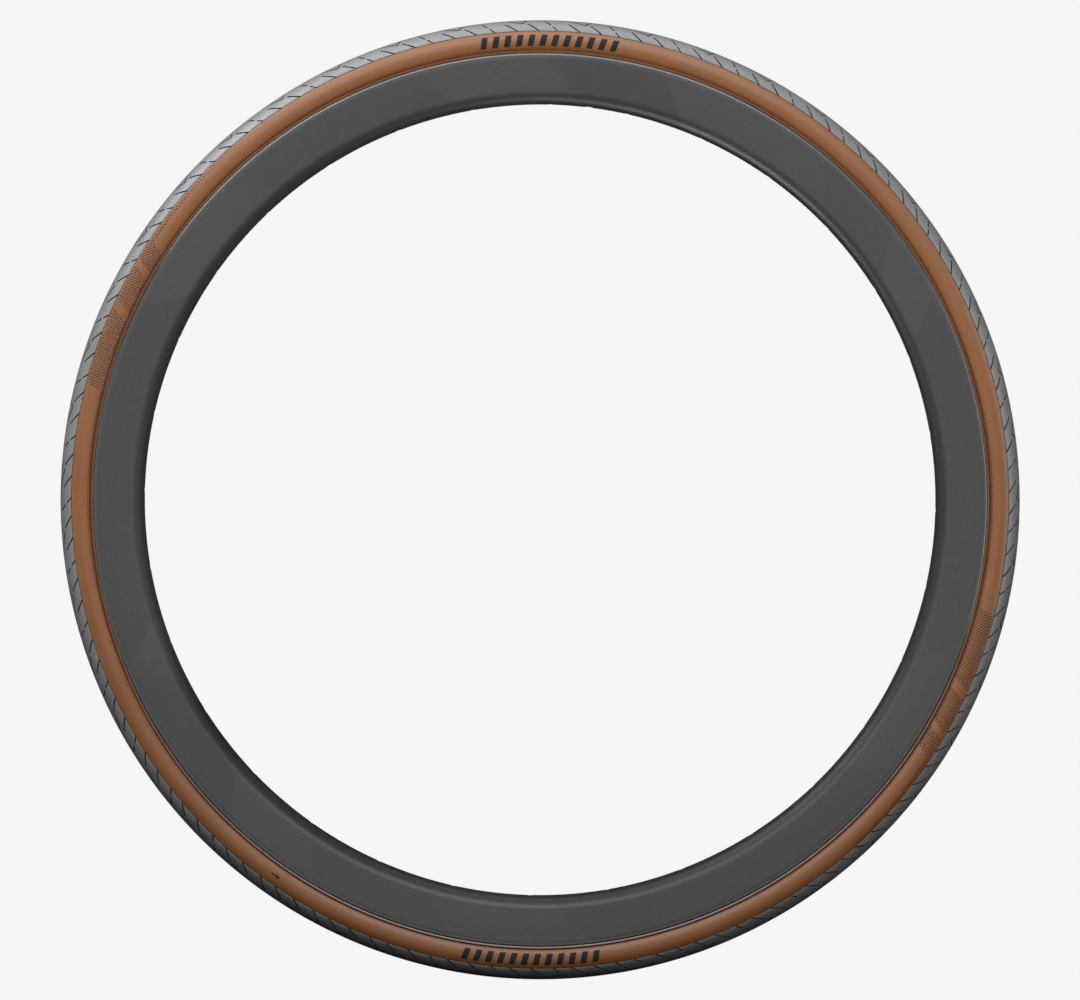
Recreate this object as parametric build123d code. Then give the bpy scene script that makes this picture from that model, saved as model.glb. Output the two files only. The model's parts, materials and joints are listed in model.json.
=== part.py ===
from build123d import *
import math
import os

os.makedirs("parts", exist_ok=True)

# A bicycle tire seated on its deep rim. Millimetres. The wheel's axis is +Y and its centre is the origin,
# +Z is up, and the left side of the wheel is -Y. Places round the wheel are given in degrees from the top,
# clockwise as seen from the left side. Every ring is a cross-section (across = Y, out = Z) turned about Y.

# rim
bead_seat_r = 311.0
rim_inner_half = 10.5
flange_thick = 2.8
flange_height = 5.4
rim_depth = 37.1
nose_radius = 11.4
nose_wall = 2.4
side_wall = 1.8
bed_wall = 1.8
shoulder_drop = 3.0
cavity_corner = 1.0
channel_top_half = 4.6
channel_floor_half = 3.8
channel_depth = 2.8
hoop_thick = 1.0
hoop_height = 3.2
tape_thick = 0.2
tape_margin = 0.3

# holes in the rim
spoke_count = 32
first_spoke = 1.5
spoke_hole_r = 2.3
access_hole_r = 3.4
valve_hole_r = 3.25
patch_r = 6.5
patch_thick = 0.8

# tire
section_half = 14.0
below_seat = 0.4
tread_step = 0.4
sidewall_thick = 1.0
crown_offset = 1.2
ply_thick = 0.4
liner_thick = 0.5
belt_thick = 0.6
belt_half_width = 10.6
base_thick = 0.5
base_half_width = 12.6
tread_half_width = 15.65

# beads
core_r = 0.9
core_gap = 0.02
wrap_thick = 0.2
chafer_thick = 0.5
bead_from_flange = 3.4
toe_extra = 0.4
filler_angle = 97.0
filler_tip = 0.03
rib_height = 0.9
seat_gap = 0.25
flange_gap = 0.3

# printed marks
ink_thick = 0.12
label_low = 4.4
label_height = 8.0
label_bar = 4.2
label_pitch = 8.4
label_bars = 12
label_slant = 2.0
label_angles = (1.15, 181.15)
arrow_angle = 215.1
arrow_length = 7.0
arrow_head = 3.0
arrow_stem = 1.0

# sizes that follow
spoke_step = 360 / spoke_count
valve_angle = first_spoke + spoke_step / 2
flange_r = flange_thick / 2
flange_mid = rim_inner_half + flange_r
flange_top = bead_seat_r + flange_height
shoulder_r = flange_top - flange_r - shoulder_drop
nose_r = flange_top - rim_depth
nose_centre = nose_r + nose_radius
channel_r = bead_seat_r - channel_depth
section_r = bead_seat_r + section_half - below_seat
tread_r = section_half + tread_step
tread_angle = math.degrees(tread_half_width / tread_r)
carcass_r = section_r - crown_offset
carcass_half = section_half - sidewall_thick
carcass_inner = carcass_half - 2 * ply_thick
belt_outer = carcass_half + belt_thick
base_outer = belt_outer + base_thick
belt_angle = math.degrees(belt_half_width / belt_outer)
base_angle = math.degrees(base_half_width / base_outer)
base_r = bead_seat_r + tape_thick + seat_gap
wrap_r = core_r + core_gap + wrap_thick
fold_r = wrap_r + ply_thick
bead_y = rim_inner_half - bead_from_flange
bead_r = base_r + chafer_thick + fold_r
toe_y = bead_y - fold_r - toe_extra
chafer_top = flange_top + flange_gap + rib_height
far = 2 * section_half


def disc(across, out, radius):
    return Pos(across, out) * Circle(radius)


def area(*points):
    return Polygon(*points, align=None)


def box(low, high):
    return area((low[0], low[1]), (high[0], low[1]), (high[0], high[1]), (low[0], high[1]))


def ray(centre, angle, length):
    turn = math.radians(angle)
    return (length * math.sin(turn), centre + length * math.cos(turn))


def wedge(centre, angle):
    """The area within an angle either side of the crown, seen from a centre on the mid-plane."""
    left = ray(centre, -angle, 2 * far)
    right = ray(centre, angle, 2 * far)
    top = centre + 2 * far
    return area((0, centre), right, (right[0], top), (left[0], top), left)


def hull(*discs):
    """The area that a cord drawn tight round some discs would hold."""
    return make_hull([edge for d in discs for edge in d.edges()])


def flipped(half):
    return mirror(half, about=Plane.YZ)


def both(half):
    return half + flipped(half)


def ring(section):
    return revolve(Plane.YZ * section, axis=Axis.Y, revolution_arc=360)


def other_side(shape):
    return mirror(shape, about=Plane.XZ)


def turned(shape, angle):
    return Rot(0, angle, 0) * shape


def radial_drill(radius, low, high, angle):
    return turned(Pos(0, 0, low) * extrude(Circle(radius), amount=high - low), angle)


def spoke_angles():
    return [first_spoke + spoke_step * i for i in range(spoke_count)]


def save(shape, node):
    solids = shape.solids()
    made = solids[0] if len(solids) == 1 else Compound(children=list(solids))
    export_step(made, f"parts/{node}.step")


def save_pair(half, node):
    save(ring(half), f"{node}_right")
    save(ring(flipped(half)), f"{node}_left")


# the rim: a skin of one nose and two sides with flanges, a bed bridging it, and hoops inside the flanges
nose = disc(0, nose_centre, nose_radius)
shoulders = [disc(side * flange_mid, shoulder_r, flange_r) for side in (-1, 1)]
flange_tip = disc(flange_mid, flange_top - flange_r, flange_r)
outline = hull(nose, *shoulders) + both(hull(shoulders[1], flange_tip))
above_bed = area(
    (-rim_inner_half, bead_seat_r),
    (-channel_top_half, bead_seat_r),
    (-channel_floor_half, channel_r),
    (channel_floor_half, channel_r),
    (channel_top_half, bead_seat_r),
    (rim_inner_half, bead_seat_r),
    (rim_inner_half, flange_top + far),
    (-rim_inner_half, flange_top + far),
)
corner_y = rim_inner_half + flange_thick - side_wall - cavity_corner
corner_r = bead_seat_r - bed_wall - cavity_corner
corners = [disc(side * corner_y, corner_r, cavity_corner) for side in (-1, 1)]
bed_low = channel_r - bed_wall
trough_half = channel_top_half + bed_wall
cavity = hull(disc(0, nose_centre, nose_radius - nose_wall), *corners)
cavity = cavity - box((-trough_half, bed_low), (trough_half, bead_seat_r))
bed_zone = box((-rim_inner_half, bed_low), (rim_inner_half, bead_seat_r))
hoop_half = (hoop_height - hoop_thick) / 2
hoop_mid = flange_top - flange_r - hoop_half
hoop = hull(
    disc(flange_mid, hoop_mid - hoop_half, hoop_thick / 2),
    disc(flange_mid, hoop_mid + hoop_half, hoop_thick / 2),
)
laminate = outline - above_bed - cavity
bed_section = laminate & bed_zone
shell_section = laminate - bed_zone - both(hoop)


def drilled(shape, radius, low, high, angles):
    return shape - [radial_drill(radius, low, high, angle) for angle in angles]


rim_shell = ring(shell_section)
rim_shell = drilled(rim_shell, spoke_hole_r, nose_r - nose_wall, nose_centre, spoke_angles())
rim_shell = drilled(rim_shell, valve_hole_r, nose_r - nose_wall, nose_centre, [valve_angle])
save(rim_shell, "rim_shell")

rim_bed = ring(bed_section)
rim_bed = drilled(rim_bed, access_hole_r, bed_low - bed_wall, bead_seat_r, spoke_angles())
rim_bed = drilled(rim_bed, valve_hole_r, bed_low - bed_wall, bead_seat_r, [valve_angle])
save(rim_bed, "rim_bed")

save_pair(hoop, "flange_hoop")

# a patch inside the nose round each hole
patch_outer = nose_radius - nose_wall
patch_zone = box((-patch_outer, nose_r), (patch_outer, nose_centre - patch_outer / 2))
patch_layer = ring((disc(0, nose_centre, patch_outer) - disc(0, nose_centre, patch_outer - patch_thick)) & patch_zone)
patch_blank = patch_layer & radial_drill(patch_r, nose_r, nose_centre, 0)
spoke_patch = patch_blank - radial_drill(spoke_hole_r, nose_r, nose_centre, 0)
valve_patch = patch_blank - radial_drill(valve_hole_r, nose_r, nose_centre, 0)
save(Compound(children=[turned(spoke_patch, angle).solid() for angle in spoke_angles()]), "spoke_hole_patches")
save(turned(valve_patch, valve_angle), "valve_hole_patch")

# tape over the bed, pierced for the valve
tape_half = rim_inner_half - tape_margin
tape_under = [
    (-tape_half, bead_seat_r),
    (-channel_top_half, bead_seat_r),
    (-channel_floor_half, channel_r),
    (channel_floor_half, channel_r),
    (channel_top_half, bead_seat_r),
    (tape_half, bead_seat_r),
]
tape_over = [(across, out + tape_thick) for across, out in reversed(tape_under)]
rim_tape = ring(area(*tape_under, *tape_over))
rim_tape = drilled(rim_tape, valve_hole_r, channel_r - tape_thick, bead_seat_r + tape_thick, [valve_angle])
save(rim_tape, "rim_tape")

# beads: a core and its wrap, a filler up to where the two runs of the folded ply meet
tip = ray(carcass_r, filler_angle, carcass_half - ply_thick)
filler_hull = hull(disc(bead_y, bead_r, wrap_r), disc(*tip, filler_tip))
ply_hull = hull(disc(bead_y, bead_r, fold_r), disc(*tip, ply_thick))
liner_hull = hull(disc(bead_y, bead_r, fold_r + liner_thick), disc(*tip, ply_thick + liner_thick))
core = disc(bead_y, bead_r, core_r)
core_room = disc(bead_y, bead_r, core_r + core_gap)
wrapped = disc(bead_y, bead_r, wrap_r)
above_tip = wedge(carcass_r, filler_angle)
far_ray = ray(carcass_r, filler_angle, far)
outer_side = area((bead_y, base_r), (bead_y, bead_r), tip, far_ray, (far_ray[0], base_r))
inner_side = area((bead_y, bead_r), tip, (0, carcass_r), (0, bead_r))

for node, section in (
    ("bead_core", core),
    ("bead_wrap", wrapped - core_room),
    ("bead_filler", filler_hull - wrapped),
):
    save_pair(section, node)

# casing ply, folded round both beads, and the liner inside it
carcass = disc(0, carcass_r, carcass_half) & above_tip
air = disc(0, carcass_r, carcass_inner) & above_tip
liner_air = disc(0, carcass_r, carcass_inner - liner_thick) & above_tip
casing_ply = ring((carcass - air) + both(ply_hull) - both(filler_hull))
save(casing_ply, "casing_ply")
liner_leg = (liner_hull & inner_side) - ply_hull
liner_section = (air - liner_air) + both(liner_leg) - both(ply_hull)
save(ring(liner_section), "inner_liner")

# belt, tread base and tread cap over the crown
belt_section = (disc(0, carcass_r, belt_outer) - disc(0, carcass_r, carcass_half)) & wedge(carcass_r, belt_angle)
save(ring(belt_section), "puncture_belt")
base_section = (disc(0, carcass_r, base_outer) - disc(0, carcass_r, carcass_half)) & wedge(carcass_r, base_angle)
base_section = base_section - belt_section
save(ring(base_section), "tread_base")
cap_section = (disc(0, section_r, tread_r) & wedge(section_r, tread_angle)) - disc(0, carcass_r, base_outer)
save(ring(cap_section), "tread_cap")

# sidewall rubber down to the rim line, and the chafer from there round the bead
room_r = flange_r + flange_gap
flange_room = hull(
    disc(flange_mid, flange_top - flange_r, room_r),
    disc(flange_mid, bead_seat_r - room_r, room_r),
)
rim_room = flange_room + box((flange_mid, bead_seat_r - room_r), (far, flange_top + flange_gap))
body = disc(0, section_r, section_half)
right_of_middle = box((0, bead_seat_r - far), (far, section_r + far))
upper = (body & above_tip & right_of_middle) - disc(0, carcass_r, carcass_half)
upper = upper - base_section - cap_section - (wedge(carcass_r, base_angle) & upper)
lower = (body & outer_side) - ply_hull - rim_room
chafer_zone = box((0, base_r), (far, chafer_top))
sidewall_section = (upper + lower) - chafer_zone
leg_lean = (tip[0] - bead_y) / (tip[1] - bead_r)
chafer_blank = area(
    (toe_y, base_r),
    (far, base_r),
    (far, chafer_top),
    (bead_y + leg_lean * (chafer_top - bead_r), chafer_top),
    (bead_y, bead_r),
    (bead_y, bead_r - core_r),
    (bead_y - fold_r, bead_r - core_r),
)
foot = box((0, base_r - chafer_thick), (flange_mid, flange_top - flange_gap))
chafer_section = (chafer_blank & (body + foot)) - ply_hull - rim_room
save_pair(sidewall_section, "sidewall")
save_pair(chafer_section, "chafer")

# plain printed bars and a direction arrow, as thin ink on each sidewall
ink_section = disc(0, section_r, section_half + ink_thick) - disc(0, section_r, section_half)
ink_low = flange_top + label_low
ink_high = ink_low + label_height
ink_ring = ring(ink_section & box((0, ink_low - 1), (far, ink_high + 1)))
ink_mid = (ink_low + ink_high) / 2


def ink(outline_points, angle):
    """A flat outline round the ring's top, pressed on the right sidewall and turned to its place."""
    stamp = extrude(Plane.XZ * area(*outline_points), amount=2 * section_half, both=True)
    return turned(ink_ring & stamp, angle).solid()


def bar(middle):
    lean = label_slant / 2
    half = label_bar / 2
    return [
        (middle - half - lean, ink_low),
        (middle + half - lean, ink_low),
        (middle + half + lean, ink_high),
        (middle - half + lean, ink_high),
    ]


bar_step = math.degrees(label_pitch / ink_mid)
bar_places = [(i - (label_bars - 1) / 2) * bar_step for i in range(label_bars)]
label = Compound(children=[ink(bar(0), angle + place) for angle in label_angles for place in bar_places])
save(label, "label_bars_right")
save(other_side(label), "label_bars_left")
arrow_neck = -arrow_length / 2 + arrow_head
arrow_points = [
    (-arrow_length / 2, ink_mid),
    (arrow_neck, ink_mid + arrow_head / 2),
    (arrow_neck, ink_mid + arrow_stem / 2),
    (arrow_length / 2, ink_mid + arrow_stem / 2),
    (arrow_length / 2, ink_mid - arrow_stem / 2),
    (arrow_neck, ink_mid - arrow_stem / 2),
    (arrow_neck, ink_mid - arrow_head / 2),
]
arrow = ink(arrow_points, arrow_angle)
save(arrow, "direction_arrow_right")
save(other_side(arrow), "direction_arrow_left")
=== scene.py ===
import json
import math

import bpy
import numpy as np
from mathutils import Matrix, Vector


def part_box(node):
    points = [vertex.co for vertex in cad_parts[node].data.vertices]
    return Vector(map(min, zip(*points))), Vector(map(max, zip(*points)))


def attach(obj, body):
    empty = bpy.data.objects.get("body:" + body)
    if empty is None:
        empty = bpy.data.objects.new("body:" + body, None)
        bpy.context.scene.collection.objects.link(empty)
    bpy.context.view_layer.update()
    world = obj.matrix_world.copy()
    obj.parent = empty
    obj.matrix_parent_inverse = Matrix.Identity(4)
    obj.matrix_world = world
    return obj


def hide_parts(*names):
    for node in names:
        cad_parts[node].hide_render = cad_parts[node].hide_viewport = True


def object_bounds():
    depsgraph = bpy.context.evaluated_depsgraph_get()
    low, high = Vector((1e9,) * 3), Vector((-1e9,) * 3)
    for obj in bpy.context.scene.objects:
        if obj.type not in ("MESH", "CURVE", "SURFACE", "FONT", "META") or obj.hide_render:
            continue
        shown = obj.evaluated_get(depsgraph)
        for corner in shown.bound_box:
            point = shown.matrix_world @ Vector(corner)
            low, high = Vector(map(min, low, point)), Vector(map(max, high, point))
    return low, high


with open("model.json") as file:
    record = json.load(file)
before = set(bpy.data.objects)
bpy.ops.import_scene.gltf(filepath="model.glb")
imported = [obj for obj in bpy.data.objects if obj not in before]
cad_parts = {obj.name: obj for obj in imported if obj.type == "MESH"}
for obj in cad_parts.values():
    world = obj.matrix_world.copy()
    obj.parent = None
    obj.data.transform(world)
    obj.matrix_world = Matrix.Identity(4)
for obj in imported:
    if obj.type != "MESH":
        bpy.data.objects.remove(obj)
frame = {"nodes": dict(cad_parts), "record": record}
cadLow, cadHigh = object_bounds()

mm = 0.001
left, right = -1, 1

# sizes that the pieces share, in millimetres: the wheel's axis is Y, and angles run clockwise from the
# top as seen from the left side
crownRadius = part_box("tread_cap")[1][2] / mm
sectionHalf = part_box("sidewall_right")[1][1] / mm
treadStep = 0.4
treadRadius = sectionHalf + treadStep
sectionRadius = crownRadius - treadRadius
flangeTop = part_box("rim_shell")[1][2] / mm
noseInner = 279.3
radiansPerDegree = math.pi / 180


# mesh helpers
def deselectAll():
    if bpy.context.object and bpy.context.object.mode != "OBJECT":
        bpy.ops.object.mode_set(mode="OBJECT")
    bpy.ops.object.select_all(action="DESELECT")


def pick(*pieces):
    deselectAll()
    for piece in pieces:
        piece.select_set(True)
    bpy.context.view_layer.objects.active = pieces[0]


def named(name):
    piece = bpy.context.object
    piece.name = name
    piece.data.name = name
    return piece


def readPoints(piece):
    flat = np.empty(len(piece.data.vertices) * 3)
    piece.data.vertices.foreach_get("co", flat)
    return flat.reshape(-1, 3)


def writePoints(piece, points):
    piece.data.vertices.foreach_set("co", np.ascontiguousarray(points, float).ravel())
    piece.data.update()


def applyAll(piece):
    pick(piece)
    for modifier in list(piece.modifiers):
        bpy.ops.object.modifier_apply(modifier=modifier.name)


def signedVolume(piece):
    points = readPoints(piece)
    piece.data.calc_loop_triangles()
    corners = np.empty(len(piece.data.loop_triangles) * 3, int)
    piece.data.loop_triangles.foreach_get("vertices", corners)
    a, b, c = points[corners].reshape(-1, 3, 3).transpose(1, 0, 2)
    return np.einsum("ij,ij->i", a, np.cross(b, c)).sum() / 6


# merges doubles and turns the normals outwards: a thin ring can come out of the operator inside out
def closeUp(piece, distance=0.00001):
    pick(piece)
    bpy.ops.object.mode_set(mode="EDIT")
    bpy.ops.mesh.select_all(action="SELECT")
    bpy.ops.mesh.remove_doubles(threshold=distance)
    bpy.ops.mesh.normals_make_consistent(inside=False)
    bpy.ops.object.mode_set(mode="OBJECT")
    if signedVolume(piece) < 0:
        bpy.ops.object.mode_set(mode="EDIT")
        bpy.ops.mesh.select_all(action="SELECT")
        bpy.ops.mesh.flip_normals()
        bpy.ops.object.mode_set(mode="OBJECT")


def smooth(piece, angle):
    pick(piece)
    bpy.ops.object.shade_smooth_by_angle(angle=math.radians(angle))


def join(pieces, name):
    pick(*pieces)
    bpy.ops.object.join()
    return named(name)


# across and out, in millimetres, at an angle from the crown about the middle of the tire's section
def sectionPoint(theta, radius):
    return radius * np.sin(theta), sectionRadius + radius * np.cos(theta)


def aroundWheel(angle, across, out):
    return np.stack([out * np.sin(angle), across, out * np.cos(angle)], axis=-1) * mm


# points (across, out) on an arc: 0 degrees is straight across, and 90 is outwards
def arc(centre, radius, start, end, count):
    turns = np.radians(np.linspace(start, end, count))
    return [(centre[0] + radius * math.cos(t), centre[1] + radius * math.sin(t)) for t in turns]


# a closed outline (across, out) spun about the wheel's axis
def spunRing(name, profile, steps):
    deselectAll()
    bpy.ops.mesh.primitive_circle_add(vertices=len(profile), radius=1, fill_type="NOTHING")
    piece = named(name)
    writePoints(piece, np.array([(0, across * mm, out * mm) for across, out in profile]))
    bpy.ops.object.mode_set(mode="EDIT")
    bpy.ops.mesh.select_all(action="SELECT")
    bpy.ops.mesh.spin(steps=steps, angle=2 * math.pi, center=(0, 0, 0), axis=(0, 1, 0))
    bpy.ops.object.mode_set(mode="OBJECT")
    closeUp(piece)
    return piece


# shader helpers
def shader(name):
    material = bpy.data.materials.new(name)
    material.use_nodes = True
    tree = material.node_tree
    return material, tree, tree.nodes["Principled BSDF"]


# chains maths nodes in one tree
class Maths:
    def __init__(self, tree):
        self.tree = tree

    def do(self, operation, *values, clamp=False):
        node = self.tree.nodes.new("ShaderNodeMath")
        node.operation = operation
        node.use_clamp = clamp
        for socket, value in zip(node.inputs, values):
            self.feed(socket, value)
        return node.outputs[0]

    def feed(self, socket, value):
        if isinstance(value, (int, float)):
            socket.default_value = value
        else:
            self.tree.links.new(value, socket)

    def ramp(self, value, low, high, lowOut=0.0, highOut=1.0, kind="SMOOTHSTEP"):
        node = self.tree.nodes.new("ShaderNodeMapRange")
        node.interpolation_type = kind
        for socket, item in zip(node.inputs, (value, low, high, lowOut, highOut)):
            self.feed(socket, item)
        return node.outputs["Result"]

    def noise(self, vector, scale, detail=3.0, roughness=0.55):
        node = self.tree.nodes.new("ShaderNodeTexNoise")
        self.tree.links.new(vector, node.inputs["Vector"])
        node.inputs["Scale"].default_value = scale
        node.inputs["Detail"].default_value = detail
        node.inputs["Roughness"].default_value = roughness
        return node.outputs["Fac"]

    def mix(self, factor, first, second):
        node = self.tree.nodes.new("ShaderNodeMix")
        node.data_type = "RGBA"
        self.feed(node.inputs["Factor"], factor)
        for socket, colour in zip((node.inputs["A"], node.inputs["B"]), (first, second)):
            if isinstance(colour, tuple):
                socket.default_value = (*colour, 1)
            else:
                self.tree.links.new(colour, socket)
        return node.outputs["Result"]

    def bump(self, height, strength, distance, normal=None):
        node = self.tree.nodes.new("ShaderNodeBump")
        node.inputs["Strength"].default_value = strength
        node.inputs["Distance"].default_value = distance
        self.tree.links.new(height, node.inputs["Height"])
        if normal:
            self.tree.links.new(normal, node.inputs["Normal"])
        return node.outputs["Normal"]


def objectPlace(tree):
    return tree.nodes.new("ShaderNodeTexCoord").outputs["Object"]


# group: the angle round the wheel in degrees, and the distances out from its axis and across in millimetres
def buildWheelPlace():
    group = bpy.data.node_groups.new("wheelPlace", "ShaderNodeTree")
    group.interface.new_socket("Position", in_out="INPUT", socket_type="NodeSocketVector")
    group.interface.new_socket("Angle", in_out="OUTPUT", socket_type="NodeSocketFloat")
    group.interface.new_socket("Out", in_out="OUTPUT", socket_type="NodeSocketFloat")
    group.interface.new_socket("Across", in_out="OUTPUT", socket_type="NodeSocketFloat")
    start = group.nodes.new("NodeGroupInput")
    end = group.nodes.new("NodeGroupOutput")
    parts = group.nodes.new("ShaderNodeSeparateXYZ")
    group.links.new(start.outputs["Position"], parts.inputs[0])
    m = Maths(group)
    turn = m.do("ARCTAN2", parts.outputs["X"], parts.outputs["Z"])
    degrees = m.do("MODULO", m.do("ADD", m.do("MULTIPLY", turn, 180 / math.pi), 360.0), 360.0)
    squares = m.do("ADD", m.do("POWER", parts.outputs["X"], 2.0), m.do("POWER", parts.outputs["Z"], 2.0))
    out = m.do("MULTIPLY", m.do("SQRT", squares), 1000.0)
    across = m.do("MULTIPLY", m.do("ABSOLUTE", parts.outputs["Y"]), 1000.0)
    for name, value in (("Angle", degrees), ("Out", out), ("Across", across)):
        group.links.new(value, end.inputs[name])
    return group


# group: fine moulded grain, as a shade from 0 to 1 and a height
def buildRubberGrain():
    group = bpy.data.node_groups.new("rubberGrain", "ShaderNodeTree")
    group.interface.new_socket("Position", in_out="INPUT", socket_type="NodeSocketVector")
    group.interface.new_socket("Shade", in_out="OUTPUT", socket_type="NodeSocketFloat")
    group.interface.new_socket("Height", in_out="OUTPUT", socket_type="NodeSocketFloat")
    start = group.nodes.new("NodeGroupInput")
    end = group.nodes.new("NodeGroupOutput")
    m = Maths(group)
    place = start.outputs["Position"]
    coarse = m.noise(place, 45.0, 4.0)
    fine = m.noise(place, 900.0, 2.0)
    shade = m.do("ADD", m.do("MULTIPLY", coarse, 0.7), m.do("MULTIPLY", fine, 0.3))
    group.links.new(shade, end.inputs["Shade"])
    height = m.do("ADD", m.do("MULTIPLY", fine, 0.8), m.do("MULTIPLY", coarse, 0.2))
    group.links.new(height, end.inputs["Height"])
    return group


wheelPlace = buildWheelPlace()
rubberGrain = buildRubberGrain()


def useGroup(tree, group, place):
    node = tree.nodes.new("ShaderNodeGroup")
    node.node_tree = group
    tree.links.new(place, node.inputs["Position"])
    return node


# camera, floor and light
studio = {
    "frameWidth": 0.7633,
    "aim": (-0.0001, -0.00015),
    "distance": 2.0,
    "backdrop": 0.921,
    "ambient": 0.013,
    "floorColour": (0.80, 0.80, 0.80),
    "floorRadius": 4.0,
    "floorGap": 0.0004,
}
lights = {
    "top": {"place": (0.0, -0.3, 1.9), "size": (1.8, 1.2), "power": 26.0, "face": (0, 0, 0)},
    "topFront": {"place": (-0.1, -1.7, 1.2), "size": (1.8, 1.3), "power": 31.0, "face": (0, 0, 0)},
    "upLeft": {"place": (-1.3, -0.5, 1.4), "size": (1.0, 1.0), "power": 38.0, "face": (0, 0, 0)},
    "upRight": {"place": (0.8, -0.4, 0.7), "size": (0.7, 0.7), "power": 1.0, "face": (0, 0, 0)},
    "left": {"place": (-1.0, -0.5, 0.0), "size": (0.6, 0.8), "power": 2.0, "face": (0, 0, 0)},
    "right": {"place": (1.0, -0.5, 0.1), "size": (0.6, 0.8), "power": 5.0, "face": (0, 0, 0)},
    "front": {"place": (0.0, -2.6, 0.0), "size": (2.5, 2.5), "power": 13.0, "face": (0, 0, 0)},
    "inside": {"place": (-0.1, -0.08, -0.18), "size": (0.2, 0.1), "power": 2.2, "face": (0.25, 0, 1)},
}


def buildStudio():
    bpy.ops.object.camera_add(
        location=(studio["aim"][0], -studio["distance"], studio["aim"][1]), rotation=(math.pi / 2, 0, 0)
    )
    camera = bpy.context.object
    camera.data.type = "ORTHO"
    camera.data.ortho_scale = studio["frameWidth"]
    bpy.context.scene.camera = camera
    bpy.context.scene.view_settings.view_transform = "Standard"
    world = bpy.data.worlds.new("studioAir")
    bpy.context.scene.world = world
    world.use_nodes = True
    tree = world.node_tree
    background = tree.nodes["Background"]
    level = studio["backdrop"]
    background.inputs["Color"].default_value = (level, level, level, 1)
    ray = tree.nodes.new("ShaderNodeLightPath")
    m = Maths(tree)
    strength = m.ramp(ray.outputs["Is Camera Ray"], 0.0, 1.0, studio["ambient"], 1.0, kind="LINEAR")
    tree.links.new(strength, background.inputs["Strength"])
    for name, light in lights.items():
        bpy.ops.object.light_add(type="AREA", location=light["place"])
        lamp = bpy.context.object
        lamp.name = name
        lamp.data.shape = "RECTANGLE"
        lamp.data.size, lamp.data.size_y = light["size"]
        lamp.data.energy = light["power"]
        lamp.visible_camera = False
        aim = [b - a for a, b in zip(light["place"], light["face"])]
        flat = math.hypot(aim[0], aim[1])
        lamp.rotation_euler = (math.atan2(flat, -aim[2]), 0, math.atan2(aim[1], aim[0]) - math.pi / 2)
    under = (0, 0, cadLow[2] - studio["floorGap"])
    bpy.ops.mesh.primitive_circle_add(
        vertices=96, radius=studio["floorRadius"], fill_type="NGON", location=under
    )
    floor = named("floor")
    floor.visible_diffuse = False
    floor.visible_glossy = False
    material, tree, surface = shader("paleFloor")
    surface.inputs["Base Color"].default_value = (*studio["floorColour"], 1)
    surface.inputs["Roughness"].default_value = 0.9
    floor.data.materials.append(material)


buildStudio()
print("studio ready")


# tread: one pitch of each half is cut flat, repeated, and laid round the wheel
tread = {
    "pitches": 47,
    "firstPitch": 0.55,
    "halfWidth": 15.3,
    "acrossCells": 14,
    "alongCells": 12,
    "slab": 1.0,
    "edgeRound": 0.3,
    "edgeDrop": 0.14,
    "sipeWidth": 1.0,
    "sipeDepth": 0.66,
    "dotRadius": 0.5,
    "innerOffset": 1.2,
    "innerRadius": 14.1,
    "meanRadius": 335.0,
    "mergeWithin": 0.000002,
}
pitchLength = 2 * math.pi * tread["meanRadius"] / tread["pitches"]
pitchAngle = 360.0 / tread["pitches"]
# each sipe: along (degrees) and across (millimetres of arc from the crown) at its ends
# and whether it starts in a dot
sipes = [
    {"from": (0.10, 5.7), "to": (0.72, 10.1), "dot": False},
    {"from": (1.02, 12.0), "to": (1.75, 16.4), "dot": True},
    {"from": (2.92, 8.9), "to": (4.55, 16.4), "dot": True},
    {"from": (5.62, 8.9), "to": (7.22, 16.4), "dot": True},
    {"from": (2.25, 2.2), "to": (4.98, 8.3), "dot": False},
    {"from": (4.94, 8.3), "to": (5.58, 3.0), "dot": False},
]


def flatPlace(spot):
    return spot[0] / pitchAngle * pitchLength * mm, spot[1] * mm


def cutSipes(slab):
    cutters = []
    for sipe in sipes:
        x0, y0 = flatPlace(sipe["from"])
        x1, y1 = flatPlace(sipe["to"])
        length = math.hypot(x1 - x0, y1 - y0) + tread["sipeWidth"] * mm * 0.5
        deselectAll()
        bpy.ops.mesh.primitive_cube_add(
            size=1,
            location=((x0 + x1) / 2, (y0 + y1) / 2, 0),
            rotation=(0, 0, math.atan2(y1 - y0, x1 - x0)),
            scale=(length, tread["sipeWidth"] * mm, 2 * tread["sipeDepth"] * mm),
        )
        cutters.append(bpy.context.object)
        if sipe["dot"]:
            deselectAll()
            bpy.ops.mesh.primitive_cylinder_add(
                vertices=12,
                radius=tread["dotRadius"] * mm,
                depth=2.2 * tread["sipeDepth"] * mm,
                location=(x0, y0, 0),
            )
            cutters.append(bpy.context.object)
    for cutter in cutters:
        pick(slab)
        cut = slab.modifiers.new("cut", "BOOLEAN")
        cut.operation = "DIFFERENCE"
        cut.solver = "EXACT"
        cut.object = cutter
        bpy.ops.object.modifier_apply(modifier=cut.name)
    pick(*cutters)
    bpy.ops.object.delete()


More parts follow.
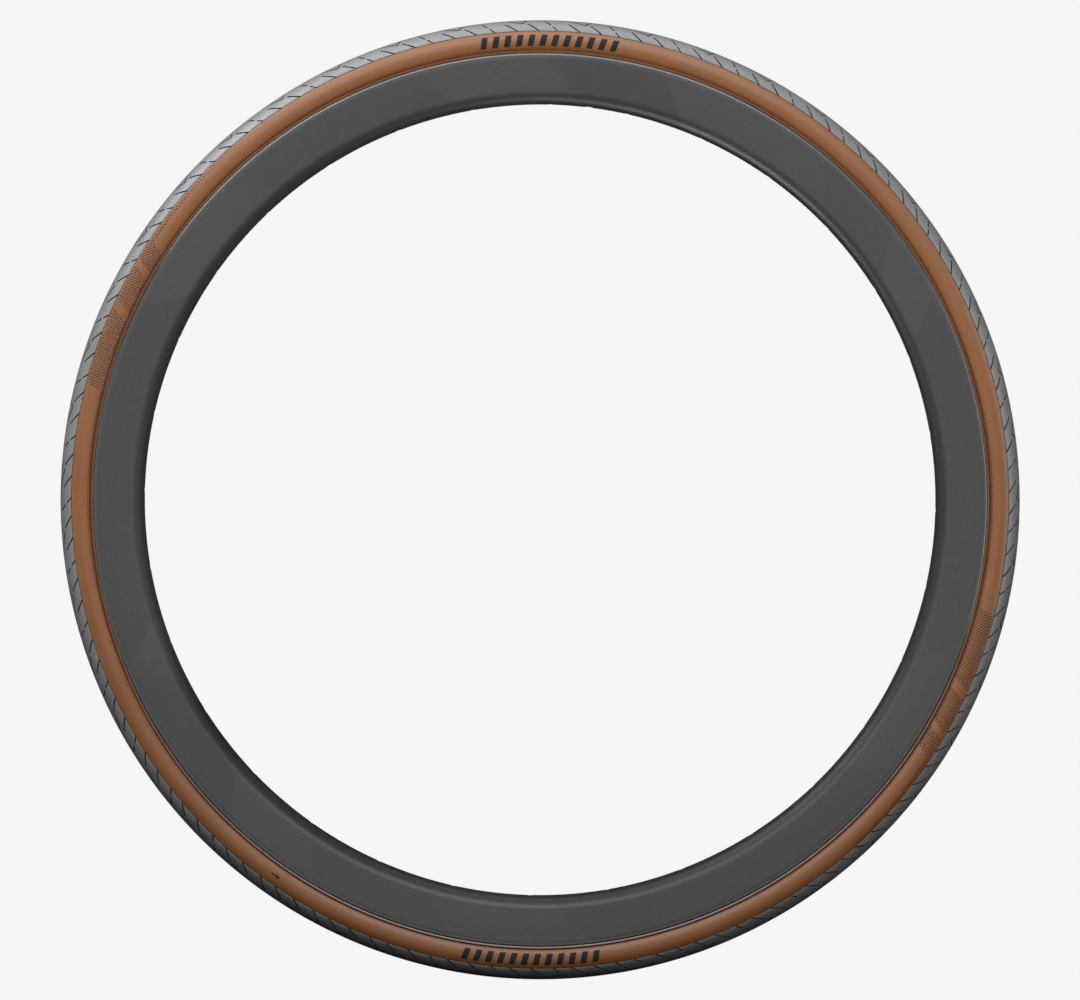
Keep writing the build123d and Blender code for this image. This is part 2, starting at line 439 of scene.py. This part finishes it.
def flatHalfPitch():
    deselectAll()
    width = tread["halfWidth"] * mm
    bpy.ops.mesh.primitive_grid_add(
        x_subdivisions=tread["alongCells"], y_subdivisions=tread["acrossCells"], size=1
    )
    slab = named("treadPitch")
    points = readPoints(slab)
    points[:, 0] = (points[:, 0] + 0.5) * pitchLength * mm
    points[:, 1] = (points[:, 1] + 0.5) * width
    last = points[:, 1] > width * (1 - 1.5 / tread["acrossCells"])
    inner = last & (points[:, 1] < width * (1 - 0.5 / tread["acrossCells"]))
    points[inner, 1] = width - tread["edgeRound"] * mm
    writePoints(slab, points)
    thick = slab.modifiers.new("thick", "SOLIDIFY")
    thick.thickness = tread["slab"] * mm
    thick.offset = -1
    applyAll(slab)
    cutSipes(slab)
    # the sides where copies meet are opened
    pick(slab)
    bpy.ops.object.mode_set(mode="EDIT")
    bpy.ops.mesh.select_all(action="DESELECT")
    bpy.ops.object.mode_set(mode="OBJECT")
    points = readPoints(slab)
    near = tread["mergeWithin"]
    for face in slab.data.polygons:
        spots = points[list(face.vertices)]
        face.select = bool(
            (abs(spots[:, 0]) < near).all()
            or (abs(spots[:, 0] - pitchLength * mm) < near).all()
            or (abs(spots[:, 1]) < near).all()
        )
    bpy.ops.object.mode_set(mode="EDIT")
    bpy.ops.mesh.select_mode(type="FACE")
    bpy.ops.mesh.delete(type="FACE")
    bpy.ops.mesh.select_all(action="SELECT")
    bpy.ops.mesh.quads_convert_to_tris(quad_method="BEAUTY", ngon_method="BEAUTY")
    bpy.ops.object.mode_set(mode="OBJECT")
    row = slab.modifiers.new("row", "ARRAY")
    row.count = tread["pitches"]
    row.use_relative_offset = False
    row.use_constant_offset = True
    row.constant_offset_displace = (pitchLength * mm, 0, 0)
    row.use_merge_vertices = True
    row.merge_threshold = near
    applyAll(slab)
    return slab


# lays a flat half tread round the wheel: its length round the axis, its width round the section
def layRound(slab, side, shift):
    points = readPoints(slab) / mm
    start = math.radians(tread["firstPitch"] + shift)
    angle = 2 * math.pi * (points[:, 0] / (pitchLength * tread["pitches"])) + start
    across, depth = points[:, 1], points[:, 2]
    theta = across / treadRadius
    edge = np.clip((across - (tread["halfWidth"] - tread["edgeRound"])) / tread["edgeRound"], 0, 1)
    dropped = -tread["innerOffset"] * np.cos(theta)
    inside = dropped + np.sqrt(tread["innerRadius"] ** 2 - (tread["innerOffset"] * np.sin(theta)) ** 2)
    outside = treadRadius + depth - tread["edgeDrop"] * edge**2
    radius = np.where(depth < -0.9 * tread["slab"], inside, outside)
    y, out = sectionPoint(theta, radius)
    writePoints(slab, aroundWheel(angle, side * y, out))


def buildTread():
    half = flatHalfPitch()
    pick(half)
    bpy.ops.object.duplicate()
    other = bpy.context.object
    layRound(half, left, 0.0)
    layRound(other, right, pitchAngle / 2)
    piece = join([half, other], "treadRing")
    closeUp(piece, 2 * tread["mergeWithin"])
    smooth(piece, 35)
    return piece


def treadMaterial():
    material, tree, surface = shader("treadRubber")
    m = Maths(tree)
    place = objectPlace(tree)
    grain = useGroup(tree, rubberGrain, place)
    where = useGroup(tree, wheelPlace, place)
    base = m.mix(grain.outputs["Shade"], (0.105, 0.105, 0.108), (0.150, 0.150, 0.154))
    # the crown is a little darker than the shoulders; the sipes are painted near black and a faint dark line
    # is painted round the dropped tread edge, both painted shade in these recesses
    crown = m.ramp(where.outputs["Across"], 0.0, 6.0, 0.45, 0.0)
    shaded = m.mix(crown, base, (0.07, 0.07, 0.072))
    rise = m.do("SUBTRACT", where.outputs["Out"], sectionRadius)
    squares = m.do("ADD", m.do("POWER", rise, 2.0), m.do("POWER", where.outputs["Across"], 2.0))
    # sunk: painted shade, near black in the sipes and faint at the dropped tread edge
    sunk = m.ramp(m.do("SQRT", squares), treadRadius - 0.3, treadRadius - 0.12, 0.97, 0.0)
    tree.links.new(m.mix(sunk, shaded, (0.004, 0.004, 0.004)), surface.inputs["Base Color"])
    rough = m.ramp(grain.outputs["Shade"], 0.2, 0.8, 0.42, 0.58)
    tree.links.new(rough, surface.inputs["Roughness"])
    surface.inputs["Specular IOR Level"].default_value = 0.6
    tree.links.new(m.bump(grain.outputs["Height"], 0.25, 0.0002), surface.inputs["Normal"])
    return material


treadPiece = buildTread()
treadPiece.data.materials.append(treadMaterial())
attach(treadPiece, "tire")
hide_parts("tread_cap")
print("tread ready", len(treadPiece.data.polygons))


# sidewalls: a sheet with the moulded panels of small pits, wrapped into a closed ring
side = {
    "tuck": 57.5,
    "tuckRadius": 13.35,
    "top": 60.95,
    "lip": 63.0,
    "lipRise": -0.2,
    "bottom": 119.4,
    "plyRadius": 13.0,
    "plyDrop": 1.2,
    "plyFrom": 116.0,
    "plyTo": 62.0,
    "plyPoints": 8,
    "heel": (11.0, 317.55),
    "rows": 40,
    "plainStep": 0.75,
    "panelStep": 0.048,
}
panels = {
    "repeat": 180.0,
    "blocks": ((103.5, 113.2), (114.3, 119.1), (119.95, 122.8)),
    "slant": 1.05,
    "innerStrip": (62.4, 103.6, 0.20),
    "innerTaper": 18.0,
    "outerStrip": (122.6, 143.75, 0.20),
    "outerTaper": 16.0,
    "spare": 0.3,
    "margin": 0.035,
    "pitchAngle": 0.241,
    "pitchArc": 2.15,
    "length": 0.86,
    "width": 0.45,
    "lean": 0.3,
    "depth": 0.24,
}
sideArc = math.radians(side["bottom"] - side["lip"]) * sectionHalf


# angles of the sheet's columns: close together on the panels and far apart on plain rubber
def panelColumns():
    first = panels["blocks"][0][0] - panels["spare"]
    last = panels["blocks"][-1][1] + panels["slant"] + panels["spare"]
    angles = []
    for turn in (0.0, panels["repeat"]):
        plainFrom = 0.0 if turn == 0.0 else last
        plainCount = max(2, round((turn + first - plainFrom) / side["plainStep"]))
        plain = np.linspace(plainFrom, turn + first, plainCount)
        close = np.linspace(turn + first, turn + last, round((last - first) / side["panelStep"]))
        angles += [plain[:-1], close[:-1]]
    tailCount = round((360 - panels["repeat"] - last) / side["plainStep"])
    tail = np.linspace(panels["repeat"] + last, 360.0, tailCount)
    return np.unique(np.round(np.concatenate(angles + [tail]), 5))


# how deep the pits are, from 0 to 1: angle in degrees, down from 0 at the tread to 1 at the rim line
def pitDepth(angle, down):
    turn = np.mod(angle, panels["repeat"])
    lined = turn - panels["slant"] * (1 - down)
    inBlocks = np.zeros_like(turn)
    for start, end in panels["blocks"]:
        inBlocks = np.maximum(inBlocks, (lined > start) & (lined < end))
    inBlocks = inBlocks * (down > panels["margin"]) * (down < 1 - panels["margin"])
    column = np.round(turn / panels["pitchAngle"])
    alongOff = (turn - column * panels["pitchAngle"]) * radiansPerDegree * sectionRadius
    arcDown = down * sideArc + np.mod(column, 2) * panels["pitchArc"] / 2
    rowOff = arcDown - np.round(arcDown / panels["pitchArc"]) * panels["pitchArc"]
    alongOff = alongOff - panels["lean"] * rowOff
    shape = (alongOff / panels["width"]) ** 2 + (rowOff / panels["length"]) ** 2
    return inBlocks * np.clip(1.15 - shape, 0, 1)


def buildSidewall(name, hand):
    angles = panelColumns()
    tuckY, tuckOut = sectionPoint(math.radians(side["tuck"]), side["tuckRadius"])
    outer = np.linspace(side["lip"], side["bottom"], side["rows"])
    ply = np.radians(np.linspace(side["plyFrom"], side["plyTo"], side["plyPoints"]))
    plyCentre = sectionRadius - side["plyDrop"]
    plyRadius = side["plyRadius"]
    innerPoints = [(plyRadius * math.sin(t), plyCentre + plyRadius * math.cos(t)) for t in ply]
    innerPoints[0] = side["heel"]
    lead = 3  # rows of the lip before the outer face
    around = len(outer) + lead + len(innerPoints)
    deselectAll()
    bpy.ops.mesh.primitive_grid_add(
        x_subdivisions=len(angles) - 1, y_subdivisions=around, size=1, calc_uvs=True
    )
    piece = named(name)
    points = readPoints(piece)
    column = np.rint((points[:, 0] + 0.5) * (len(angles) - 1)).astype(int)
    row = np.rint((points[:, 1] + 0.5) * around).astype(int)
    angle = angles[column]
    theta = np.radians(outer[np.clip(row - lead, 0, len(outer) - 1)])
    down = (theta - theta.min()) / (theta.max() - theta.min())
    onFace = (row >= lead) & (row < lead + len(outer))
    sunk = pitDepth(angle, down) * onFace
    across, out = sectionPoint(theta, sectionHalf - panels["depth"] * sunk)
    top = sectionPoint(math.radians(side["top"]), sectionHalf + side["lipRise"])
    under = sectionPoint(math.radians(side["top"]), side["tuckRadius"])
    for number, (y, r) in enumerate(((tuckY, tuckOut), under, top)):
        across = np.where(row == number, y, across)
        out = np.where(row == number, r, out)
    for number, (y, r) in enumerate(innerPoints):
        across = np.where(row == number + lead + len(outer), y, across)
        out = np.where(row == number + lead + len(outer), r, out)
    across = np.where(row == around, tuckY, across)
    out = np.where(row == around, tuckOut, out)
    writePoints(piece, aroundWheel(np.radians(angle), hand * across, out))
    corners = np.empty(len(piece.data.loops), int)
    piece.data.loops.foreach_get("vertex_index", corners)
    places = np.stack([angle / 360.0, np.where(onFace, down, 0.0)], axis=-1)
    piece.data.uv_layers[0].data.foreach_set("uv", places[corners].ravel())
    closeUp(piece)
    smooth(piece, 50)
    return piece


def sidewallMaterial():
    material, tree, surface = shader("tanSidewall")
    m = Maths(tree)
    place = objectPlace(tree)
    grain = useGroup(tree, rubberGrain, place)
    uv = tree.nodes.new("ShaderNodeUVMap")
    parts = tree.nodes.new("ShaderNodeSeparateXYZ")
    tree.links.new(uv.outputs[0], parts.inputs[0])
    turn = m.do("MODULO", m.do("MULTIPLY", parts.outputs["X"], 360.0), panels["repeat"])
    down = parts.outputs["Y"]
    up = m.do("SUBTRACT", 1.0, down)
    lined = m.do("SUBTRACT", turn, m.do("MULTIPLY", up, panels["slant"]))
    mask = None
    for start, end in panels["blocks"]:
        inside = m.do("MULTIPLY", m.do("GREATER_THAN", lined, start), m.do("LESS_THAN", lined, end))
        mask = inside if mask is None else m.do("MAXIMUM", mask, inside)
    start, end, high = panels["innerStrip"]
    reach = m.ramp(turn, start, start + panels["innerTaper"], 0.0, high, kind="LINEAR")
    inner = m.do("MULTIPLY", m.do("LESS_THAN", up, reach), m.do("LESS_THAN", turn, end + panels["spare"]))
    inner = m.do("MULTIPLY", inner, m.do("GREATER_THAN", turn, start))
    start, end, high = panels["outerStrip"]
    reach = m.ramp(turn, end - panels["outerTaper"], end, high, 0.0, kind="LINEAR")
    outer = m.do("MULTIPLY", m.do("LESS_THAN", down, reach), m.do("GREATER_THAN", turn, start))
    outer = m.do("MULTIPLY", outer, m.do("LESS_THAN", turn, end))
    mask = m.do("MAXIMUM", mask, m.do("MAXIMUM", inner, outer))
    edge = panels["margin"]
    clear = m.do("MULTIPLY", m.do("GREATER_THAN", down, edge), m.do("GREATER_THAN", up, edge))
    mask = m.do("MULTIPLY", mask, clear)
    column = m.do("ROUND", m.do("DIVIDE", turn, panels["pitchAngle"]))
    offAngle = m.do("SUBTRACT", turn, m.do("MULTIPLY", column, panels["pitchAngle"]))
    along = m.do("MULTIPLY", offAngle, radiansPerDegree * sectionRadius)
    odd = m.do("MODULO", column, 2.0)
    shifted = m.do("MULTIPLY", odd, panels["pitchArc"] / 2)
    arcDown = m.do("ADD", m.do("MULTIPLY", down, sideArc), shifted)
    rowNumber = m.do("ROUND", m.do("DIVIDE", arcDown, panels["pitchArc"]))
    whole = m.do("MULTIPLY", rowNumber, panels["pitchArc"])
    rowOff = m.do("SUBTRACT", arcDown, whole)
    along = m.do("SUBTRACT", along, m.do("MULTIPLY", rowOff, panels["lean"]))
    first = m.do("POWER", m.do("DIVIDE", m.do("ABSOLUTE", along), panels["width"]), 2.0)
    second = m.do("POWER", m.do("DIVIDE", m.do("ABSOLUTE", rowOff), panels["length"]), 2.0)
    pit = m.do("MULTIPLY", mask, m.do("SUBTRACT", 1.2, m.do("ADD", first, second), clamp=True))
    tan = m.mix(grain.outputs["Shade"], (0.145, 0.050, 0.0125), (0.180, 0.066, 0.019))
    # the tan is painted deeper and darker towards the rim line: painted shade where the lower sidewall turns
    # towards the axis
    rim = m.mix(m.ramp(down, 0.55, 1.0, 0.0, 0.35), tan, (0.115, 0.032, 0.007))
    panelled = m.mix(m.do("MULTIPLY", mask, 0.12), rim, (0.10, 0.032, 0.010))
    # the pits are painted near black: painted shade in the pits
    colour = m.mix(m.do("MULTIPLY", pit, 0.97), panelled, (0.012, 0.004, 0.002))
    tree.links.new(colour, surface.inputs["Base Color"])
    tree.links.new(m.ramp(grain.outputs["Shade"], 0.2, 0.8, 0.36, 0.46), surface.inputs["Roughness"])
    tree.links.new(m.do("SUBTRACT", 0.5, m.do("MULTIPLY", pit, 0.4)), surface.inputs["Specular IOR Level"])
    grainBump = m.bump(grain.outputs["Height"], 0.12, 0.00015)
    tree.links.new(m.bump(m.do("MULTIPLY", pit, -1.0), 0.5, 0.00012, grainBump), surface.inputs["Normal"])
    return material


tanRubber = sidewallMaterial()
for name, hand, node in (("sidewallLeft", left, "sidewall_left"), ("sidewallRight", right, "sidewall_right")):
    wall = buildSidewall(name, hand)
    wall.data.materials.append(tanRubber)
    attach(wall, "tire")
    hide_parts(node)
    print(name, "ready", len(wall.data.polygons))


# chafers: the bead's foot, up between ply and flange, to the round rib of the rim line
chafer = {
    "foot": (
        (10.9, 317.4), (8.46, 312.8), (7.1, 311.95), (5.88, 312.57),
        (5.58, 312.57), (5.18, 311.45), (10.2, 311.45),
    ),
    "flangeCentre": (11.9, 315.0),
    "flangeRadius": 1.62,
    "flangeFrom": 42.0,
    "flangeTo": 180.0,
    "flangePoints": 13,
    "rib": (
        (13.12, 316.02), (13.52, 317.1), (13.5, 317.28), (13.3, 317.46),
        (12.8, 317.7), (12.35, 317.62), (12.2, 317.4), (11.5, 317.42),
    ),
    "steps": 540,
}


def buildChafer(name, hand):
    profile = list(chafer["foot"])
    bend = arc(
        chafer["flangeCentre"],
        chafer["flangeRadius"],
        chafer["flangeFrom"],
        chafer["flangeTo"],
        chafer["flangePoints"],
    )
    profile += reversed(bend)
    profile += list(chafer["rib"])
    piece = spunRing(name, [(hand * y, r) for y, r in profile], chafer["steps"])
    smooth(piece, 40)
    return piece


def chaferMaterial():
    material, tree, surface = shader("rimLineRubber")
    m = Maths(tree)
    grain = useGroup(tree, rubberGrain, objectPlace(tree))
    # this tan is darker than the sidewall's tan: painted shade, matching the rib's shaded underside at the
    # top
    tan = m.mix(grain.outputs["Shade"], (0.070, 0.023, 0.007), (0.092, 0.032, 0.011))
    tree.links.new(tan, surface.inputs["Base Color"])
    tree.links.new(m.ramp(grain.outputs["Shade"], 0.2, 0.8, 0.24, 0.32), surface.inputs["Roughness"])
    surface.inputs["Specular IOR Level"].default_value = 0.8
    tree.links.new(m.bump(grain.outputs["Height"], 0.03, 0.0001), surface.inputs["Normal"])
    return material


ribRubber = chaferMaterial()
for name, hand, node in (("chaferLeft", left, "chafer_left"), ("chaferRight", right, "chafer_right")):
    foot = buildChafer(name, hand)
    foot.data.materials.append(ribRubber)
    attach(foot, "tire")
    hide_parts(node)
print("chafers ready")


# rim skin: nose, sides and flanges as one closed wall, bored for spokes and valve
rim = {
    "innerHalf": 10.5,
    "flangeCentre": (11.9, 315.0),
    "flangeRadius": 1.4,
    "edgeCentre": (11.5, 314.6),
    "edgeRadius": 1.8,
    "shoulderOut": 312.0,
    "noseRadius": 11.4,
    "noseWall": 2.4,
    "cornerCentre": (10.5, 308.2),
    "cornerRadius": 1.0,
    "spokes": 32,
    "firstSpoke": 1.5,
    "spokeRadius": 2.3,
    "valveAngle": 7.125,
    "valveRadius": 3.25,
    "drillFacets": 32,
    "drillLength": 16.0,
    "steps": 576,
}
noseCentre = noseInner + rim["noseRadius"]


# angle below straight across of the outside tangent of two circles
def lean(first, firstRadius, second, secondRadius):
    dy, dr = first[0] - second[0], first[1] - second[1]
    span = math.hypot(dy, dr)
    return math.degrees(math.atan2(dr, dy) - math.acos((secondRadius - firstRadius) / span))


def rimProfile():
    shoulder = (rim["flangeCentre"][0], rim["shoulderOut"])
    nose = (0.0, noseCentre)
    outerLean = lean(shoulder, rim["flangeRadius"], nose, rim["noseRadius"])
    innerLean = lean(rim["cornerCentre"], rim["cornerRadius"], nose, rim["noseRadius"] - rim["noseWall"])
    half = [(rim["innerHalf"], rim["cornerCentre"][1] + rim["cornerRadius"])]
    half += arc(rim["flangeCentre"], rim["flangeRadius"], 180.0, 120.0, 7)
    half += arc(rim["edgeCentre"], rim["edgeRadius"], 90.0, 0.0, 12)
    half += arc(shoulder, rim["flangeRadius"], 0.0, outerLean, 3)
    half += arc(nose, rim["noseRadius"], outerLean, -90.0, 26)
    back = arc(nose, rim["noseRadius"] - rim["noseWall"], -90.0, innerLean, 16)
    back += arc(rim["cornerCentre"], rim["cornerRadius"], innerLean, 88.0, 6)
    outside = half + [(-y, r) for y, r in reversed(half[:-1])]
    inside = [(-y, r) for y, r in reversed(back)] + back[1:]
    return outside + inside


def buildRim():
    piece = spunRing("rimSkin", rimProfile(), rim["steps"])
    drills = []
    step = 360.0 / rim["spokes"]
    holes = [(rim["firstSpoke"] + step * i, rim["spokeRadius"]) for i in range(rim["spokes"])]
    for angle, radius in holes + [(rim["valveAngle"], rim["valveRadius"])]:
        deselectAll()
        turn = math.radians(angle)
        out = noseInner * mm
        bpy.ops.mesh.primitive_cylinder_add(
            vertices=rim["drillFacets"],
            radius=radius * mm,
            depth=rim["drillLength"] * mm,
            location=(out * math.sin(turn), 0, out * math.cos(turn)),
            rotation=(0, turn, 0),
        )
        drills.append(bpy.context.object)
    drill = join(drills, "drills")
    pick(piece)
    cut = piece.modifiers.new("cut", "BOOLEAN")
    cut.operation = "DIFFERENCE"
    cut.solver = "EXACT"
    cut.object = drill
    bpy.ops.object.modifier_apply(modifier=cut.name)
    pick(drill)
    bpy.ops.object.delete()
    smooth(piece, 40)
    return piece


# where the overlapping sheets of the lay-up end, round the rim, and how much each leans
layup = {
    "edges": (
        1.2, 14.9, 38.8, 51.9, 61.5, 107.6, 125.2, 143.2, 171.8,
        190.8, 208.4, 223.0, 232.0, 247.0, 277.4, 295.1, 313.9, 343.0,
    ),
    "lean": 0.165,
    "shades": (0.35, 0.62, 0.48, 0.7, 0.42, 0.56, 0.3),
}


def rimMaterial():
    material, tree, surface = shader("rimLaminate")
    m = Maths(tree)
    place = objectPlace(tree)
    where = useGroup(tree, wheelPlace, place)
    inward = m.do("SUBTRACT", flangeTop, where.outputs["Out"])
    lined = m.do("SUBTRACT", where.outputs["Angle"], m.do("MULTIPLY", inward, layup["lean"]))
    lined = m.do("MODULO", m.do("ADD", lined, 360.0), 360.0)
    steps = tree.nodes.new("ShaderNodeValToRGB")
    steps.color_ramp.interpolation = "CONSTANT"
    while len(steps.color_ramp.elements) > 1:
        steps.color_ramp.elements.remove(steps.color_ramp.elements[-1])
    steps.color_ramp.elements[0].position = 0.0
    steps.color_ramp.elements[0].color = (0.5, 0.5, 0.5, 1)
    for number, edge in enumerate(layup["edges"]):
        stop = steps.color_ramp.elements.new(edge / 360.0)
        shade = layup["shades"][number % len(layup["shades"])]
        stop.color = (shade, shade, shade, 1)
    tree.links.new(m.do("DIVIDE", lined, 360.0), steps.inputs["Fac"])
    mapping = tree.nodes.new("ShaderNodeCombineXYZ")
    m.feed(mapping.inputs["X"], m.do("MULTIPLY", where.outputs["Angle"], 0.6))
    m.feed(mapping.inputs["Y"], where.outputs["Out"])
    fibres = m.noise(mapping.outputs[0], 1.4, 3.0)
    speckle = m.noise(place, 1500.0, 1.0)
    tone = m.do("ADD", m.do("MULTIPLY", steps.outputs["Color"], 0.45), m.do("MULTIPLY", fibres, 0.55))
    side = m.mix(tone, (0.009, 0.009, 0.0093), (0.058, 0.058, 0.060))
    # the inner edge is given less shine than the sides and is painted darker: the darkening is painted shade
    # on the nose
    inner = m.ramp(where.outputs["Out"], 284.0, 289.0, 1.0, 0.0)
    colour = m.mix(m.do("MULTIPLY", inner, 0.6), side, (0.004, 0.004, 0.004))
    tree.links.new(colour, surface.inputs["Base Color"])
    edge = m.ramp(where.outputs["Out"], 313.3, 314.5)
    glossier = m.do("ADD", 0.42, m.do("MULTIPLY", edge, 0.5))
    shine = m.do("SUBTRACT", glossier, m.do("MULTIPLY", inner, 0.28))
    tree.links.new(shine, surface.inputs["Specular IOR Level"])
    rough = m.do("SUBTRACT", m.ramp(tone, 0.3, 0.7, 0.42, 0.36), m.do("MULTIPLY", edge, 0.22))
    tree.links.new(rough, surface.inputs["Roughness"])
    tree.links.new(m.bump(speckle, 0.05, 0.0001), surface.inputs["Normal"])
    return material


rimPiece = buildRim()
laminate = rimMaterial()
rimPiece.data.materials.append(laminate)
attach(rimPiece, "rim")
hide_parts("rim_shell")
print("rim ready", len(rimPiece.data.polygons))


# finishes of the CAD nodes that stay
def plainRubber(name, dark, light):
    material, tree, surface = shader(name)
    m = Maths(tree)
    grain = useGroup(tree, rubberGrain, objectPlace(tree))
    tree.links.new(m.mix(grain.outputs["Shade"], dark, light), surface.inputs["Base Color"])
    tree.links.new(m.ramp(grain.outputs["Shade"], 0.2, 0.8, 0.5, 0.75), surface.inputs["Roughness"])
    tree.links.new(m.bump(grain.outputs["Height"], 0.2, 0.0002), surface.inputs["Normal"])
    return material


# threads crossing at 45 degrees to the wheel's plane
def wovenFabric(name, warp, weft, threads):
    material, tree, surface = shader(name)
    m = Maths(tree)
    where = useGroup(tree, wheelPlace, objectPlace(tree))
    along = m.do("MULTIPLY", where.outputs["Angle"], radiansPerDegree * crownRadius * threads)
    across = m.do("MULTIPLY", where.outputs["Across"], threads)
    one = m.do("SINE", m.do("MULTIPLY", m.do("ADD", along, across), math.pi))
    two = m.do("SINE", m.do("MULTIPLY", m.do("SUBTRACT", along, across), math.pi))
    weave = m.ramp(m.do("MULTIPLY", one, two), -0.6, 0.6)
    tree.links.new(m.mix(weave, warp, weft), surface.inputs["Base Color"])
    surface.inputs["Roughness"].default_value = 0.8
    tree.links.new(m.bump(weave, 0.4, 0.0002), surface.inputs["Normal"])
    return material


def printInk():
    material, tree, surface = shader("printedInk")
    m = Maths(tree)
    grain = useGroup(tree, rubberGrain, objectPlace(tree))
    black = m.mix(grain.outputs["Shade"], (0.006, 0.006, 0.007), (0.014, 0.013, 0.014))
    tree.links.new(black, surface.inputs["Base Color"])
    surface.inputs["Specular IOR Level"].default_value = 0.15
    tree.links.new(m.ramp(grain.outputs["Shade"], 0.2, 0.8, 0.45, 0.6), surface.inputs["Roughness"])
    tree.links.new(m.bump(grain.outputs["Height"], 0.1, 0.0001), surface.inputs["Normal"])
    return material


def clearTape():
    material, tree, surface = shader("rimTapeFilm")
    m = Maths(tree)
    streaks = m.noise(objectPlace(tree), 60.0)
    tree.links.new(m.mix(streaks, (0.60, 0.54, 0.30), (0.75, 0.70, 0.45)), surface.inputs["Base Color"])
    tree.links.new(m.ramp(streaks, 0.3, 0.7, 0.2, 0.35), surface.inputs["Roughness"])
    return material


finishes = {
    "tread_rubber": treadPiece.data.materials[0],
    "sidewall_rubber": ribRubber,
    "base_rubber": plainRubber("baseRubber", (0.015, 0.015, 0.015), (0.03, 0.03, 0.03)),
    "liner_rubber": plainRubber("linerRubber", (0.012, 0.012, 0.013), (0.022, 0.022, 0.024)),
    "belt_fabric": wovenFabric("beltWeave", (0.55, 0.42, 0.16), (0.66, 0.55, 0.27), 1.2),
    "casing_fabric": wovenFabric("casingWeave", (0.16, 0.09, 0.05), (0.24, 0.14, 0.08), 2.4),
    "bead_fibre": wovenFabric("beadFibre", (0.55, 0.42, 0.12), (0.68, 0.56, 0.22), 1.0),
    "printed_ink": printInk(),
    "rim_laminate": laminate,
    "rim_tape": clearTape(),
}
for part in frame["record"]["subparts"]:
    node = frame["nodes"][part["node"]]
    node.data.materials.clear()
    node.data.materials.append(finishes[part["material_slot"]])
print("finishes ready")
